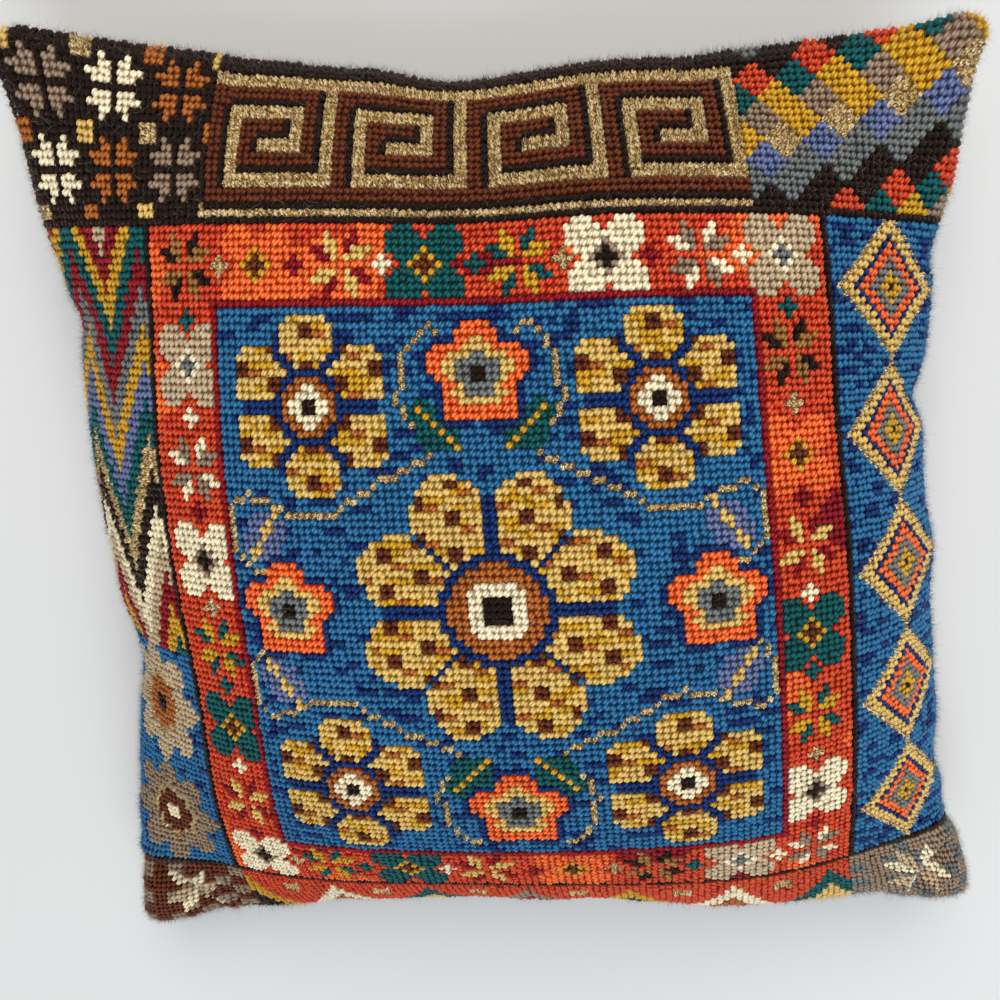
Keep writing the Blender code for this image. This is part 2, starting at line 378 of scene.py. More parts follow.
VINE = ((0, 33), (8, 38), (11, 28), (7, 22), (15, 18), (25, 13), (36, 16), (37, 8), (31, 4), (31, 0))
for sx in (-1, 1):
    for sy in (-1, 1):
        vine([(cx + x * sx, cy + y * sy) for x, y in VINE])
        leaf(cx + 3 * sx, cy + 22 * sy, math.atan2(7 * sy, 7 * sx), 9, "teal", "mustard")
        leaf(cx + 35 * sx, cy + 7 * sy, math.atan2(9 * sy, -6 * sx), 9, "periwinkle", "straw")
seeded_flower(cx, cy, 20, 8, np.pi / 8)
for sx in (-1, 1):
    for sy in (-1, 1):
        seeded_flower(cx + 24 * sx, cy + 28 * sy, 12.5, 6, np.pi / 6)
SMALL_FLOWER = [(1, "bright_orange"), (0.66, "straw"), (0.46, "slate"), (0.2, "black_brown")]
for x, y in ((cx, cy + 32), (cx, cy - 32), (cx - 30, cy), (cx + 30, cy)):
    rosette(x, y, 5, 8.2, [(1, "navy")], -np.pi / 2, waist=0.30)
    rosette(x, y, 5, 7.2, SMALL_FLOWER, -np.pi / 2, waist=0.34)

# Top left block: small stars on black brown, with squares of gold, caramel and straw where they meet.
STAR_BLOCK, STAR_PITCH = 34, 11
area = block(0, TOP, STAR_BLOCK, RING)
chart[area] = yarn["black_brown"]
in_block = np.zeros(chart.shape, bool)
in_block[area] = True
for i in range(3):
    for j in range(2):
        tone = ("cream", "caramel", "taupe")[(i + 2 * j) % 3]
        star(6 + STAR_PITCH * i, TOP + 6 + STAR_PITCH * j, 2, tone, tone)
for i in range(4):
    for j in range(3):
        near = (abs(col - 1 - STAR_PITCH * i) <= 1) & (abs(row - TOP - STAR_PITCH * j) <= 1)
        chart[near & in_block] = yarn[("gold", "caramel", "straw")[(i + j) % 3]]

# Key band: four repeats of a brown meander on metallic gold, in lines of 3 stitches and gaps of 2.
KEY = ("#######.",
       "#.....#.",
       "#.###.#.",
       "#.#...#.",
       "#.#####.",
       "#.......",
       "########")
key = np.array([[mark == "#" for mark in line] for line in KEY])[::-1]
key = key[np.ix_(np.repeat(np.arange(7), (3, 2, 3, 2, 3, 2, 3)), np.repeat(np.arange(8), (3, 2) * 4))]
key_left, KEY_RUN, KEY_ROWS = STAR_BLOCK, 80, 21
area = block(key_left, TOP, KEY_RUN, KEY_ROWS)
band = np.zeros((KEY_ROWS, KEY_RUN), bool)
band[1:19] = np.tile(key, (1, 4))
shadow = band & ~(np.roll(band, 1, axis=0) & np.roll(band, -1, axis=1))
chart[area] = yarn["gold"]
chart[area][band] = yarn["chocolate"]
chart[area][shadow] = yarn["black_brown"]
chart[block(key_left, TOP + KEY_ROWS, KEY_RUN, RING - KEY_ROWS)] = yarn["black_brown"]

# Top right block: harlequin squares set on their points. Along one slant every fourth cloth of the list comes
# next, and along the other every third.
SQUARE = 6                      # stitches from point to point
harlequin_left = key_left + KEY_RUN
area = block(harlequin_left, TOP, STITCHES - harlequin_left, RING)
c, r = col[area] - harlequin_left, row[area] - TOP
cloths = ("slate", "mustard", "teal", "black_brown", "periwinkle", "taupe", "orange_red", "slate", "gold",
          "mustard", "black_brown")
square = (c + r) // SQUARE * 4 + (c - r + 10 * SQUARE) // SQUARE * 3 + 6
chart[area] = np.array([yarn[name] for name in cloths])[square % len(cloths)]

# Left band: flame stitch above, and two eight-petalled flowers on blue below.
FLAME, ZIGZAG, STRIPE = 62, 16, 5       # stitches up the band, from point to point, and up each colour
area = block(0, TOP - FLAME, RING, FLAME)
c, r = col[area], row[area]
flames = ("teal", "mustard", "crimson", "stone", "cream", "black_brown", "gold", "teal", "periwinkle",
          "mustard", "slate", "crimson")
point = (r + 2 * abs((c + 3) % ZIGZAG - ZIGZAG // 2)) // STRIPE
chart[area] = np.array([yarn[name] for name in flames])[point % len(flames)]
blue_ground(block(0, LOW, RING, TOP - LOW - FLAME), 0.12)
for j, (rim, heart, eye) in enumerate((("taupe", "chocolate", "cream"), ("stone", "caramel", "black_brown"))):
    rings = [(1, rim), (0.56, "gold"), (0.44, heart), (0.16, eye)]
    rosette(11, LOW + 11 + 22 * j, 8, 11, rings, waist=0.34)

# Right band: stepped diamonds on deep blue.
blue_ground(block(RIGHT, LOW, RING, TOP - LOW), 0.35)
in_band = col >= RIGHT
DIAMOND = ((10, "gold"), (9, "straw"), (7, "navy"), (6, "bright_orange"), (4, "slate"), (2, "mustard"),
           (0, "black_brown"))
DIAMOND_PITCH = 21              # stitches from one diamond up to the next
for j in range(5):
    far = abs(col - RIGHT - RING // 2) + abs(row - LOW - DIAMOND_PITCH // 2 - 1 - DIAMOND_PITCH * j)
    for reach, name in DIAMOND:
        chart[(far <= reach) & in_band] = yarn[name]

# Bottom band: a row of teeth on red-orange, between two star blocks.
area = block(0, 0, STITCHES, LOW_RING)
c, r = col[area], row[area]
TOOTH = 16                      # stitches wide
slope, which = abs(c % TOOTH - TOOTH // 2), c // TOOTH % 4
chart[area] = yarn["orange_red"]
TEETH = ((8, ("taupe", "mustard", "cream", "teal")), (5, ("crimson", "black_brown", "caramel", "straw")))
for reach, tones in TEETH:
    tooth = r < (reach - slope) * 1.9
    chart[area][tooth] = np.array([yarn[name] for name in tones])[which][tooth]
chart[area][(abs((c + TOOTH // 2) % TOOTH - TOOTH // 2) <= 1) & (r > 11) & (r < 15)] = yarn["gold"]
for left, tones in ((0, ("taupe", "chocolate", "slate")), (STITCHES - RING, ("slate", "taupe", "teal"))):
    area = block(left, 0, RING, LOW_RING)
    c, r = (col[area] - left) // 3, row[area] // 3
    chart[area] = np.array([yarn[name] for name in tones])[(c + r) % 2 + ((c % 4 == 1) & (r % 2 == 1))]
    star(left + 12, 9, 3, "stone", "cream")

# Single dark lines part the bands.
for area in (block(0, TOP - 1, STITCHES, 1), block(0, LOW, STITCHES, 1), block(LEFT - 1, LOW, 1, TOP - LOW),
             block(RIGHT, LOW, 1, TOP - LOW)):
    chart[area] = yarn["black_brown"]

# Wool stitches
# Tent stitch in two-ply wool: each stitch crosses one mesh of the canvas from lower left to upper right, and
# its two plies swell side by side between the two holes. One piece for each yarn, as it comes off its skein.
WOOLS = {
    "mid_blue": "286F9D", "navy": "08326E", "periwinkle": "6A76A0", "teal": "045A5C", "orange_red": "D04616",
    "bright_orange": "EF6E26", "crimson": "910319", "mustard": "CF9F19", "straw": "DFBC6C", "cream": "F4E7C7",
    "stone": "C9B292", "caramel": "AF6623", "tan": "A07137", "chocolate": "693112", "black_brown": "20110A",
    "slate": "747877", "taupe": "9A836E",
}
SLANT = 0.39                    # half the sideways run of a stitch, in meshes
REACH = 0.51                    # half its upward run
PLUMP = 0.455                   # half its width
CREST = 1.5 * MM                # yarn above the canvas
PLACES = np.array([-1.0, -0.66, 0.0, 0.66, 1.0])        # sections along a stitch
ROUND = np.array([-1.0, -0.5, 0.0, 0.5, 1.0])           # points across a section
TWO_PLIES = np.array([0.48, 1.0, 0.72, 1.0, 0.48])      # share of the height at those points
WIDTHS = np.array([0.60, 0.90, 1.0, 0.90, 0.60])        # share of the width at each section
HEIGHTS = np.array([0.0, 0.76, 1.0, 0.76, 0.0])         # share of the height at each section
LAYOUT_ACROSS, LAYOUT_ALONG = 0.45, 0.47                # half a stitch in the bake layout, in meshes
# How unevenly the stitches lie: spread of the turn in radians, and of the width, height and lean as shares.
TURN_VARIES, WIDTH_VARIES, HEIGHT_VARIES, LEAN_VARIES = 0.12, 0.11, 0.13, 0.14


def grid_faces(rows, columns):
    """Four-sided faces of a grid of points."""
    i, j = np.meshgrid(np.arange(rows - 1), np.arange(columns - 1), indexing="ij")
    a = (i * columns + j).ravel()
    return np.stack([a, a + columns, a + columns + 1, a + 1], axis=1)


def piece(name, points, faces, material, uv=None):
    """Makes a smooth mesh of one material from arrays, with its bake layout if it has one, and rides it."""
    mesh = bpy.data.meshes.new(name)
    mesh.vertices.add(len(points))
    mesh.vertices.foreach_set("co", np.asarray(points, np.float32).ravel())
    mesh.loops.add(faces.size)
    mesh.loops.foreach_set("vertex_index", faces.ravel().astype(np.int32))
    mesh.polygons.add(len(faces))
    mesh.polygons.foreach_set("loop_start", np.arange(len(faces), dtype=np.int32) * faces.shape[1])
    mesh.polygons.foreach_set("use_smooth", np.ones(len(faces), bool))
    mesh.update(calc_edges=True)
    if uv is not None:
        layer = mesh.uv_layers.new(name="OFBake")
        layer.data.foreach_set("uv", np.asarray(uv, np.float32)[faces.ravel()].ravel())
    mesh.materials.append(material)
    obj = bpy.data.objects.new(name, mesh)
    bpy.context.scene.collection.objects.link(obj)
    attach(obj, "root")
    return obj


def material(name, **constants):
    """A Principled material; constants go straight on the shader's own sockets."""
    made = bpy.data.materials.new(name)
    made.use_nodes = True
    shader = made.node_tree.nodes["Principled BSDF"]
    for socket, value in constants.items():
        shader.inputs[socket.replace("_", " ")].default_value = value
    return made, made.node_tree, shader


def add(tree, kind, inputs=(), **settings):
    """One node, its settings, and its inputs: a value, or the output socket that feeds it."""
    node = tree.nodes.new(kind)
    for key, value in settings.items():
        setattr(node, key, value)
    for key, value in dict(inputs).items():
        if isinstance(value, bpy.types.NodeSocket):
            tree.links.new(value, node.inputs[key])
        else:
            node.inputs[key].default_value = value
    return node


def math_node(tree, operation, *values):
    """One operation on values or output sockets."""
    return add(tree, "ShaderNodeMath", dict(enumerate(values)), operation=operation).outputs[0]


def new_group(name, inputs, outputs):
    """A shader node group with named sockets: (name, kind, default) in, (name, kind) out."""
    group = bpy.data.node_groups.new(name, "ShaderNodeTree")
    for label, kind, value in inputs:
        socket = group.interface.new_socket(label, in_out="INPUT", socket_type="NodeSocket" + kind)
        socket.default_value = value
    for label, kind in outputs:
        group.interface.new_socket(label, in_out="OUTPUT", socket_type="NodeSocket" + kind)
    return group, group.nodes.new("NodeGroupInput"), group.nodes.new("NodeGroupOutput")


def srgb(code):
    """Linear colour of a dye given as six hex digits."""
    part = np.array([int(code[i:i + 2], 16) for i in (0, 2, 4)]) / 255
    return (*np.where(part <= 0.04045, part / 12.92, ((part + 0.055) / 1.055) ** 2.4).tolist(), 1)


def stitches(cells, plump=PLUMP, crest=CREST, wander=0.06, arch=TWO_PLIES):
    """Points, faces and bake layout of tent stitches over the given meshes (row, column), as one mesh."""
    count = len(cells)
    along, around = (w[None].repeat(count, 0) for w in np.meshgrid(PLACES, ROUND, indexing="ij"))
    turn, wider, right, higher, taller, tipped = hand.normal(size=(6, count, 1, 1))
    turn = TURN_VARIES * turn
    side = plump * (1 + WIDTH_VARIES * wider) * WIDTHS[None, :, None] * around
    slant = math.atan2(SLANT, REACH) + turn
    middle_x, middle_y = cells[:, 1, None, None] + 0.5, cells[:, 0, None, None] + 0.5
    x = middle_x + SLANT * along + side * np.cos(slant) + wander * right + turn * along * 0.3
    y = middle_y + REACH * along - side * np.sin(slant) + wander * higher
    lean_over = 1 + LEAN_VARIES * tipped * around
    lift = crest * (1 + HEIGHT_VARIES * taller) * HEIGHTS[None, :, None] * arch * lean_over - CREST
    points = on_cloth(x, y, lift).reshape(-1, 3)
    one = grid_faces(len(PLACES), len(ROUND))[:, ::-1]
    faces = (np.arange(count)[:, None, None] * len(PLACES) * len(ROUND) + one[None]).reshape(-1, 4)
    uv = np.stack([middle_x + LAYOUT_ACROSS * around, middle_y + LAYOUT_ALONG * along], axis=-1)
    return points, faces, uv.reshape(-1, 2) / STITCHES


# Where a point lies in its own stitch, from -1 to 1 each way, and two chance numbers of that stitch.
stitch_place, _, out = new_group("stitch_place", (), (
    ("Across", "Float"), ("Along", "Float"), ("Own", "Float"), ("Own second", "Float")))
t = stitch_place
layout = add(t, "ShaderNodeUVMap", uv_map="OFBake").outputs[0]
scaled = add(t, "ShaderNodeVectorMath", {0: layout, 1: (STITCHES, STITCHES, 0)}, operation="MULTIPLY")
counted = scaled.outputs[0]
within = add(t, "ShaderNodeVectorMath", {0: counted}, operation="FRACTION").outputs[0]
whole = add(t, "ShaderNodeVectorMath", {0: counted}, operation="FLOOR").outputs[0]
part = add(t, "ShaderNodeSeparateXYZ", {0: within})
for socket, name, share in ((0, "Across", LAYOUT_ACROSS), (1, "Along", LAYOUT_ALONG)):
    from_middle = math_node(t, "SUBTRACT", part.outputs[socket], 0.5)
    t.links.new(math_node(t, "DIVIDE", from_middle, share), out.inputs[name])
chance = add(t, "ShaderNodeTexWhiteNoise", {"Vector": whole}, noise_dimensions="2D")
split = add(t, "ShaderNodeSeparateColor", {0: chance.outputs["Color"]})
t.links.new(split.outputs[0], out.inputs["Own"])
t.links.new(split.outputs[1], out.inputs["Own second"])


def vary(tree, value, span, middle):
    """Raises or lowers the middle by up to half the span, as a value from 0 to 1 says."""
    return math_node(tree, "MULTIPLY_ADD", math_node(tree, "SUBTRACT", value, 0.5), span, middle)


# Wool yarn: a painted highlight on the crest of each ply and painted shade at its sides and where it dives
# into the canvas, with fibres along the strand, and dye that varies a little from stitch to stitch and from
# length to length.
wool_yarn, given, out = new_group(
    "wool_yarn",
    (("Dye", "Color", (0.5, 0.5, 0.5, 1)), ("Dye change", "Float", 0.12), ("Fibre", "Float", 0.25),
     ("Ply line", "Float", 0.5), ("Shade", "Float", 0.5)),
    (("Color", "Color"), ("Roughness", "Float"), ("Height", "Float")))
t = wool_yarn
across_s, along_s, own, own_2 = add(t, "ShaderNodeGroup", node_tree=stitch_place).outputs
strand = add(t, "ShaderNodeCombineXYZ", {
    0: math_node(t, "MULTIPLY_ADD", along_s, 0.5, math_node(t, "MULTIPLY", across_s, 3.0)),
    1: math_node(t, "MULTIPLY", along_s, 0.8),
    2: math_node(t, "MULTIPLY", own, 40)}).outputs[0]
fibres = add(t, "ShaderNodeTexNoise", {
    "Vector": strand, "Scale": 1.2, "Detail": 3, "Roughness": 0.7}).outputs["Fac"]
place = add(t, "ShaderNodeTexCoord").outputs["Object"]
lot = add(t, "ShaderNodeTexNoise", {"Vector": place, "Scale": 26, "Detail": 2}).outputs["Fac"]

from_crest = math_node(t, "ABSOLUTE", math_node(t, "SUBTRACT", math_node(t, "ABSOLUTE", across_s), 0.5))
ply = math_node(t, "MULTIPLY", from_crest, 2.0)         # 0 on the crest of a ply, 1 at its sides
# Painted shade: darker at the sides of each ply and towards the ends of the stitch, where shade falls; deep
# is its strength.
line = math_node(t, "MULTIPLY", math_node(t, "POWER", ply, 2.0), given.outputs["Ply line"])
end = math_node(t, "POWER", math_node(t, "ABSOLUTE", along_s), 2.0)
deep = math_node(t, "MINIMUM", math_node(t, "MULTIPLY_ADD", end, 2.0, line), 2.2)
# Painted highlight along the crest of each ply, fading towards the ends of the stitch.
on_crest = add(t, "ShaderNodeMapRange", {0: ply, 1: 0.0, 2: 0.7, 3: 1.0, 4: 0.0},
               interpolation_type="SMOOTHSTEP")
painted_highlight = math_node(t, "MULTIPLY", on_crest.outputs[0], math_node(t, "SUBTRACT", 1.0, end))

# The dye varies from stitch to stitch, along the fibres and from lot to lot; the painted highlight lightens
# and pales it, the painted shade darkens it.
bright = vary(t, own, given.outputs["Dye change"], 0.95)
bright = vary(t, fibres, given.outputs["Fibre"], bright)
bright = vary(t, lot, 0.20, bright)
bright = math_node(t, "MULTIPLY_ADD", painted_highlight, 0.22, bright)
bright = math_node(t, "MULTIPLY_ADD", deep, -0.20, bright)
dye_with_painted_light = add(t, "ShaderNodeHueSaturation", {
    "Hue": math_node(t, "MULTIPLY_ADD", own_2, 0.008, 0.496),
    "Saturation": math_node(t, "MULTIPLY_ADD", painted_highlight, -0.07, 1.0),
    "Value": bright,
    "Color": given.outputs["Dye"]}).outputs[0]
# Gamma above 1 deepens and enriches the painted shade; a little under 1 on the crest.
painted_shade_gamma = math_node(t, "MULTIPLY_ADD", deep, given.outputs["Shade"], 0.93)
t.links.new(add(t, "ShaderNodeGamma", {"Color": dye_with_painted_light, "Gamma": painted_shade_gamma}).outputs[0], out.inputs["Color"])
t.links.new(math_node(t, "MULTIPLY_ADD", fibres, 0.20, 0.62), out.inputs["Roughness"])
t.links.new(math_node(t, "SUBTRACT", math_node(t, "MULTIPLY", fibres, 0.8), line), out.inputs["Height"])

for name, dye in WOOLS.items():
    light = np.array(srgb(dye)[:3])
    haze = 0.45 + 0.55 * light / light.max()            # the fine fibres glance paler than the dye
    wool, tree, shader = material(
        "wool_" + name, Specular_IOR_Level=0.10, Sheen_Weight=0.28, Sheen_Roughness=0.40,
        Sheen_Tint=(*haze.tolist(), 1))
    spun = add(tree, "ShaderNodeGroup", {
        "Dye": srgb(dye), "Dye change": 0.18, "Fibre": 1.5, "Ply line": 0.38, "Shade": 0.50},
        node_tree=wool_yarn)
    raised = add(tree, "ShaderNodeBump", {
        "Height": spun.outputs["Height"], "Strength": 0.7, "Distance": 0.0004})
    tree.links.new(spun.outputs["Color"], shader.inputs["Base Color"])
    tree.links.new(spun.outputs["Roughness"], shader.inputs["Roughness"])
    tree.links.new(raised.outputs[0], shader.inputs["Normal"])
    points, faces, uv = stitches(np.argwhere(chart == yarn[name]))
    obj = piece("wool_" + name, points, faces, wool, uv)

# Metallic gold stitches
# The same tent stitch in a cord of twisted metallic ribbon, stiffer and looser than wool: two thin strands to
# a stitch, coloured gold and tan, with painted glints as bright flecks where a turn of the ribbon faces the
# light and painted dark brown shade between the turns.
GOLD_PLUMP, GOLD_CREST, GOLD_WANDER = 0.42, 1.6 * MM, 0.05
TWO_STRANDS = np.array([0.05, 1.0, 0.42, 1.0, 0.05])
metal, tree, shader = material("thread_gold", Metallic=0.30, Specular_IOR_Level=0.5)
across_s, along_s, own, _ = add(tree, "ShaderNodeGroup", node_tree=stitch_place).outputs
turns_of_ribbon = add(tree, "ShaderNodeCombineXYZ", {
    0: math_node(tree, "MULTIPLY", across_s, 2.0),
    1: math_node(tree, "MULTIPLY", along_s, 2.6),
    2: math_node(tree, "MULTIPLY", own, 60)}).outputs[0]
flecks = add(tree, "ShaderNodeTexVoronoi", {"Vector": turns_of_ribbon, "Scale": 1.15})
tone = add(tree, "ShaderNodeSeparateColor", {0: flecks.outputs["Color"]})
# Random flecks run from painted dark brown shade through the gold's own tan and gold to painted cream glints.
gold_with_painted_glints = add(tree, "ShaderNodeValToRGB", {"Fac": tone.outputs[0]})
stops = gold_with_painted_glints.color_ramp.elements
stops[0].color, stops[1].color = srgb("4E3312"), srgb("FFF0CC")
for at, code in ((0.22, "856232"), (0.46, "BF9850"), (0.70, "E9CB8A")):
    stops.new(at).color = srgb(code)
tree.links.new(gold_with_painted_glints.outputs[0], shader.inputs["Base Color"])
tree.links.new(math_node(tree, "MULTIPLY_ADD", tone.outputs[1], 0.3, 0.28), shader.inputs["Roughness"])
raised = add(tree, "ShaderNodeBump", {
    "Height": flecks.outputs["Distance"], "Strength": 0.9, "Distance": 0.0006})
tree.links.new(raised.outputs[0], shader.inputs["Normal"])
cells = np.argwhere(chart == yarn["gold"])
points, faces, uv = stitches(cells, GOLD_PLUMP, GOLD_CREST, GOLD_WANDER, TWO_STRANDS)
gold = piece("thread_gold", points, faces, metal, uv)

# Wool fuzz
# Fine fibres that have worked loose from the yarn: a short nap that softens every edge, longer hairs that
# stand off it, and pale lint caught on the dark wool. Each takes a paler shade of the yarn it comes from.
NAP, HAIRS, LINT = 26000, 4600, 1000
HAIR_THICK = 0.042 * MM
PALE_WOOL = np.array([0.42, 0.34, 0.27, 1.0])
dyes = np.array([srgb(code) for code in WOOLS.values()])
loose, tree, shader = material("wool_fuzz", Roughness=0.9, Specular_IOR_Level=0.2, Sheen_Weight=0.2)
tone = add(tree, "ShaderNodeAttribute", attribute_name="yarn_tone")
tree.links.new(tone.outputs["Color"], shader.inputs["Base Color"])


def scatter(count, rim_share, rim_depth):
    """Places on the panel, in stitches, a share of them close to its four edges, and which ones those are."""
    spots = hand.uniform(0.3, STITCHES - 0.3, size=(count, 2))
    near_rim, which = hand.random(count) < rim_share, hand.integers(0, 4, count)
    depth = rim_depth * hand.random(count) ** 1.5 + 0.1
    for k in range(4):
        chosen = near_rim & (which == k)
        spots[chosen, k % 2] = depth[chosen] if k < 2 else STITCHES - depth[chosen]
    return spots, near_rim


def loose_fibres(name, spots, upright, lengths, joints, curl, paler):
    """Thin tapering fibres from the given places, lengths in mm: straight with one joint, wavy with more."""
    count = len(spots)
    root = on_cloth(spots[:, 0], spots[:, 1], np.full(count, -0.5 * MM))
    outward = on_cloth(spots[:, 0], spots[:, 1], np.full(count, 0.5 * MM)) - root
    outward /= np.linalg.norm(outward, axis=1, keepdims=True)
    stray = hand.normal(size=(2, count, 3))
    aim = outward * upright + 0.5 * stray[0]
    aim /= np.linalg.norm(aim, axis=1, keepdims=True)
    bend = np.cross(aim, stray[1])
    bend /= np.linalg.norm(bend, axis=1, keepdims=True)
    side = np.cross(aim, bend)
    swing = hand.uniform(2.0, 5.0, (count, 1))
    points, within = [], []
    for k in range(joints + 1):
        share = k / joints
        path = aim * share + bend * curl * share**2 + side * curl * 0.5 * np.sin(swing * share) * share
        centre = root + path * lengths[:, None] * MM
        thick = HAIR_THICK * (1 - share) ** 0.5
        for corner in range(3 if k < joints else 1):
            turn = corner * 2 * math.pi / 3
            points.append(centre + (bend * math.cos(turn) + side * math.sin(turn)) * thick)
            within.append((0.2 + 0.3 * corner if k < joints else 0.5, 0.1 + 0.8 * share))
    sides = ((0, 1), (1, 2), (2, 0))
    one = [(3 * k + m, 3 * k + n, 3 * k + 3 + n) for k in range(joints - 1) for m, n in sides]
    one += [(3 * k + m, 3 * k + 3 + n, 3 * k + 3 + m) for k in range(joints - 1) for m, n in sides]
    one += [(3 * joints - 3 + m, 3 * joints - 3 + n, 3 * joints) for m, n in sides]
    corners = len(within)
    faces = (np.arange(count)[:, None, None] * corners + np.array(one)[None]).reshape(-1, 3)
    across = math.ceil(math.sqrt(count))                # the bake layout gives each fibre a square of its own
    place = np.stack([np.arange(count) % across, np.arange(count) // across], axis=1)[:, None]
    uv = ((place + np.array(within)[None]) / across).reshape(-1, 2)
    obj = piece(name, np.stack(points, axis=1).reshape(-1, 3), faces, loose, uv)
    own = dyes[np.minimum(chart[spots[:, 1].astype(int), spots[:, 0].astype(int)], len(dyes) - 1)]
    tones = (own * (1 - paler) + PALE_WOOL * paler).repeat(corners, axis=0)
    obj.data.attributes.new("yarn_tone", "FLOAT_COLOR", "POINT").data.foreach_set("color", tones.ravel())


spots, at_rim = scatter(NAP, rim_share=0.78, rim_depth=2.2)
lengths = hand.uniform(0.8, 1.7, NAP) * (1 + at_rim)
loose_fibres("wool_nap", spots, upright=0.8, lengths=lengths, joints=1, curl=0.0, paler=0.12)
spots, at_rim = scatter(HAIRS, rim_share=0.72, rim_depth=2.6)
longer = np.where(hand.random(HAIRS) < 0.15, 1.8, 1.0)
lengths = hand.uniform(1.4, 3.2, HAIRS) * longer
loose_fibres("wool_hairs", spots, upright=0.7, lengths=lengths, joints=3, curl=0.5, paler=0.18)
dark = np.argwhere(chart == yarn["black_brown"])
spots = dark[hand.integers(0, len(dark), LINT)][:, ::-1] + hand.uniform(0.1, 0.9, (LINT, 2))
lengths = hand.uniform(2.0, 5.0, LINT)
loose_fibres("wool_lint", spots, upright=0.35, lengths=lengths, joints=3, curl=0.7, paler=0.55)

# Canvas
# The cotton canvas itself, seen only down the gaps between stitches. The yarn also runs behind it and fills
# its holes, so each mesh takes the colour of the yarn worked over it, darkened towards near black as painted
# shade down the gaps.
CANVAS_DEPTH = 1.45 * MM        # canvas below the crests of its stitches
MESH_RELIEF = 0.10 * MM         # rise and fall of the threads from mesh to mesh
cotton, tree, shader = material("canvas_cotton", Roughness=0.95, Specular_IOR_Level=0.1)
filled_with = add(tree, "ShaderNodeAttribute", attribute_name="yarn_behind").outputs["Color"]
place = add(tree, "ShaderNodeUVMap", uv_map="OFBake").outputs[0]
threads = add(tree, "ShaderNodeTexNoise", {"Vector": place, "Scale": 420, "Detail": 3}).outputs["Fac"]


def mix(tree, share, a, b):
    """One colour turning into another."""
    return add(tree, "ShaderNodeMix", {0: share, 6: a, 7: b}, data_type="RGBA").outputs[2]


# Painted shade: the yarn behind is deepened by a gamma and mixed towards near black, more or less along the
# threads.
painted_shade_gamma = add(tree, "ShaderNodeGamma", {"Color": filled_with, "Gamma": 1.25}).outputs[0]
shade = mix(tree, math_node(tree, "MULTIPLY_ADD", threads, 0.6, 0.30), srgb("0C0A08"), painted_shade_gamma)
tree.links.new(shade, shader.inputs["Base Color"])
weave = add(tree, "ShaderNodeBump", {"Height": threads, "Strength": 0.4, "Distance": 0.0003})
tree.links.new(weave.outputs[0], shader.inputs["Normal"])

mesh_line = np.arange(STITCHES + 1.0)
across, up = np.meshgrid(mesh_line, mesh_line, indexing="ij")
relief = np.where((across.astype(int) + up.astype(int)) % 2 == 0, 1, -1) * MESH_RELIEF
canvas = piece("needlepoint_canvas", on_cloth(across, up, relief - CANVAS_DEPTH).reshape(-1, 3),
               grid_faces(STITCHES + 1, STITCHES + 1), cotton,
               np.stack([across, up], axis=-1).reshape(-1, 2) / STITCHES)
behind = dyes[np.minimum(chart, len(dyes) - 1)].transpose(1, 0, 2).reshape(-1, 4).repeat(4, axis=0)
canvas.data.attributes.new("yarn_behind", "FLOAT_COLOR", "CORNER").data.foreach_set("color", behind.ravel())
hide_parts("needlepoint_panel")

# Filled cushion
# The filling and the plain brown linen back, sewn to the canvas at a knife-edge seam. The back is cut a
# little full, so under the push of the filling it buckles softly between the seam and the patch that the
# weight flattens.
BACK_CROWN = 50 * MM            # free depth of the back below the rolled edge
BACK_FALL = 2.9                 # power of its fall to the seam
PIECE_GAP = 0.3 * MM
PANEL_THICKNESS = 2.4 * MM
UNDER_PANEL = 0.4 * MM          # filling below the panel's underside
EAR_SLACK = 3.4 * MM            # the ears are filled less tightly, so the filling keeps clear of their folds
PAST_FOLD = 7                   # stitches beyond a fold that this slack reaches
BACK_STEPS = 60
BACK_GIVE = 5 * MM              # most that the back may move as it swells
SWELL_STEPS, SWELL_PRESSURE = 20, 4.0
line_u = np.linspace(-1, 1, BACK_STEPS + 1)
bu, bv = np.meshgrid(line_u, line_u, indexing="ij")
across, up = (bu + 1) / 2 * STITCHES, (bv + 1) / 2 * STITCHES
rim = np.maximum(abs(bu), abs(bv)) > 1 - 1e-9
under = cloth_point(bu, bv, BACK_CROWN, BACK_FALL, -1) + shift
under[..., 2] = np.maximum(under[..., 2] - PIECE_GAP, 0)
seam_xy = on_cloth(across, up, np.full(bu.shape, -CANVAS_DEPTH))
under[rim, :2] = seam_xy[rim, :2]
slack = np.zeros_like(bu)
for side_u, side_v, fold, *_ in EAR_FOLDS:
    from_tip = np.hypot(1 - side_u * bu, 1 - side_v * bv) * STITCHES / 2
    slack += EAR_SLACK * (from_tip < fold + PAST_FOLD)
slack *= off_seam(bu, bv)
over = on_cloth(across, up, -PANEL_THICKNESS - UNDER_PANEL - slack)
over[rim, 2] = under[rim, 2]
k = BACK_STEPS + 1
index = np.arange(k * k).reshape(k, k)
seam = np.concatenate([index[:-1, 0], index[-1, :-1], index[:0:-1, -1], index[0, :0:-1]])
closing = np.stack([seam, seam + k * k, np.roll(seam, -1) + k * k, np.roll(seam, -1)], 1)
faces = np.concatenate([grid_faces(k, k), grid_faces(k, k)[:, ::-1] + k * k, closing])

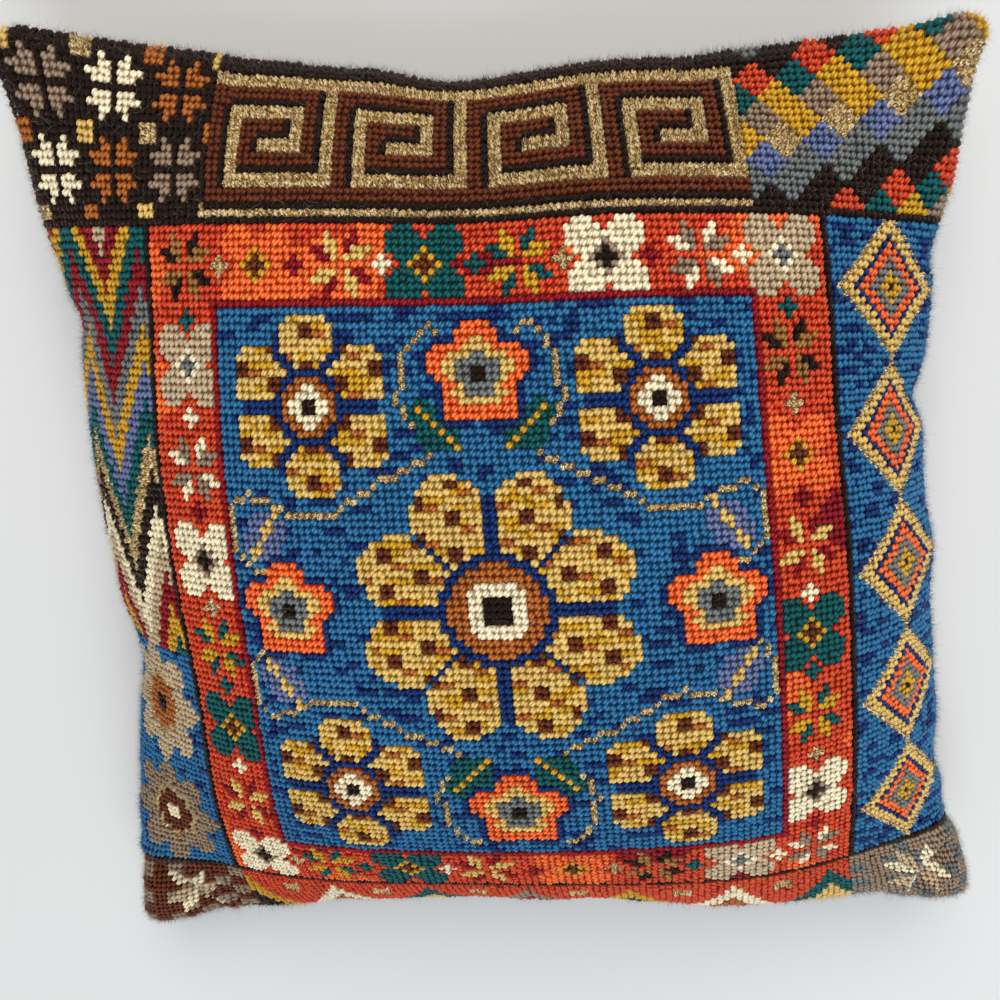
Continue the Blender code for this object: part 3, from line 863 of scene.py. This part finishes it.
# Plain weave: threads that pass over and under in turn, uneven in thickness and tone, with painted shade
# darkening the colour down between the threads.
THREADS = 1000                  # threads to a metre
linen, tree, shader = material("back_cloth", Roughness=0.9, Sheen_Weight=0.25, Sheen_Roughness=0.5,
                               Specular_IOR_Level=0.2)
place = add(tree, "ShaderNodeTexCoord").outputs["Object"]
xyz = add(tree, "ShaderNodeSeparateXYZ", {0: place}).outputs
drift = add(tree, "ShaderNodeTexNoise", {"Vector": place, "Scale": 90, "Detail": 2}).outputs["Fac"]
sets = []
for a, b in ((0, 1), (1, 0)):
    slub = add(tree, "ShaderNodeCombineXYZ", {
        0: math_node(tree, "FLOOR", math_node(tree, "MULTIPLY", xyz[a], THREADS)),
        1: math_node(tree, "MULTIPLY", xyz[b], 60)}).outputs[0]
    tone = add(tree, "ShaderNodeTexNoise", {"Vector": slub, "Scale": 1.0, "Detail": 2}).outputs["Fac"]
    turn = math_node(tree, "MULTIPLY_ADD", xyz[a], THREADS * math.pi, math_node(tree, "MULTIPLY", drift, 0.9))
    sets.append((math_node(tree, "ABSOLUTE", math_node(tree, "SINE", turn)), tone))
turns = [math_node(tree, "SINE", math_node(tree, "MULTIPLY", xyz[a], THREADS * math.pi)) for a in (0, 1)]
crossing = math_node(tree, "MULTIPLY", *turns)
upper = add(tree, "ShaderNodeMapRange", {0: crossing, 1: -0.15, 2: 0.15}).outputs[0]
height = add(tree, "ShaderNodeMix", {0: upper, 2: sets[0][0], 3: sets[1][0]}).outputs[0]
tone = add(tree, "ShaderNodeMix", {0: upper, 2: sets[0][1], 3: sets[1][1]}).outputs[0]
# Painted shade: the colour is darker where a thread falls away between its neighbours, added to each thread's
# own tone.
level = math_node(tree, "MULTIPLY_ADD", height, 0.45, math_node(tree, "MULTIPLY", tone, 1.1))
tree.links.new(mix(tree, level, srgb("3A2D24"), srgb("7C6B5C")), shader.inputs["Base Color"])
weave = add(tree, "ShaderNodeBump", {"Height": height, "Strength": 0.6, "Distance": 0.0003})
tree.links.new(weave.outputs[0], shader.inputs["Normal"])

# The back swells under the filling. The front and the seam are held, and no point moves further than it may.
start = np.concatenate([over.reshape(-1, 3), under.reshape(-1, 3)])
filled = piece("cushion_filled", start, faces, linen)
held = filled.vertex_groups.new(name="held")
at_seam = (np.flatnonzero(rim.ravel()) + k * k).tolist()
held.add([*range(k * k), *at_seam], 1.0, "REPLACE")
swell = filled.modifiers.new("swell", "CLOTH")
cloth = swell.settings
cloth.use_pressure, cloth.uniform_pressure_force = True, SWELL_PRESSURE
cloth.vertex_group_mass, cloth.shrink_min = "held", -0.025
cloth.quality, cloth.mass = 6, 0.15
cloth.tension_stiffness = cloth.compression_stiffness = 20
cloth.bending_stiffness, cloth.air_damping = 0.3, 2.0
cloth.effector_weights.gravity = 0
for moment in range(1, SWELL_STEPS + 1):
    bpy.context.scene.frame_set(moment)
settled = filled.evaluated_get(bpy.context.evaluated_depsgraph_get()).data
found = np.empty(len(start) * 3, np.float32)
settled.vertices.foreach_get("co", found)
moved = found.reshape(-1, 3) - start
far = np.linalg.norm(moved, axis=1, keepdims=True)
start = start + moved * np.minimum(1, BACK_GIVE / np.maximum(far, 1e-9))
filled.modifiers.remove(swell)
filled.vertex_groups.remove(held)
bpy.context.scene.frame_set(1)
start[:, 2] = np.maximum(start[:, 2], 0)
filled.data.vertices.foreach_set("co", start.astype(np.float32).ravel())
finer = filled.modifiers.new("finer", "SUBSURF")
finer.levels = finer.render_levels = 1
filled.data = bpy.data.meshes.new_from_object(filled.evaluated_get(bpy.context.evaluated_depsgraph_get()))
filled.modifiers.clear()
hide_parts("cushion_body")

# Stage
# A plain pale surface, soft light from both ends of the cushion, and the camera where the photograph was
# taken.
FLOOR_HALF = 3
floor_mesh = bpy.data.meshes.new("floor")
floor_corners = [(x * FLOOR_HALF, y * FLOOR_HALF, 0) for x, y in ((-1, -1), (1, -1), (1, 1), (-1, 1))]
floor_mesh.from_pydata(floor_corners, [], [(0, 1, 2, 3)])
pale, tree, shader = material("floor_pale", Base_Color=(0.69, 0.695, 0.70, 1), Roughness=0.9)
floor_mesh.materials.append(pale)
floor = bpy.data.objects.new("floor", floor_mesh)
bpy.context.scene.collection.objects.link(floor)

world = bpy.data.worlds.new("studio")
world.use_nodes = True
world.node_tree.nodes["Background"].inputs[0].default_value = (0.95, 0.97, 1.0, 1)
world.node_tree.nodes["Background"].inputs[1].default_value = 0.36
bpy.context.scene.world = world
LIGHTS = (                      # name, place, watts, colour
    ("light_above", (0.2, 1.3, 1.4), 28, (1.0, 0.95, 0.86)),
    ("light_below", (0.3, -1.3, 1.4), 23, (0.88, 0.95, 1.0)),
)
LIGHT_SIDE = 1.4
for name, place, watts, colour in LIGHTS:
    data = bpy.data.lights.new(name, "AREA")
    data.energy, data.size, data.color = watts, LIGHT_SIDE, colour
    light = bpy.data.objects.new(name, data)
    light.location = place
    aim = -np.array(place) / np.linalg.norm(place)
    light.rotation_euler = (math.acos(-aim[2]), 0, math.atan2(aim[1], aim[0]) - math.pi / 2)
    bpy.context.scene.collection.objects.link(light)

camera_data = bpy.data.cameras.new("camera")
camera_data.lens, camera_data.sensor_width = 39.6, 36
camera = bpy.data.objects.new("camera", camera_data)
camera.location = (0.0390, 0.0928, 0.4367)
camera.rotation_euler = [math.radians(a) for a in (-13.0612, 5.2543, -3.9553)]
bpy.context.scene.collection.objects.link(camera)
bpy.context.scene.camera = camera
bpy.context.scene.view_settings.view_transform = "Standard"
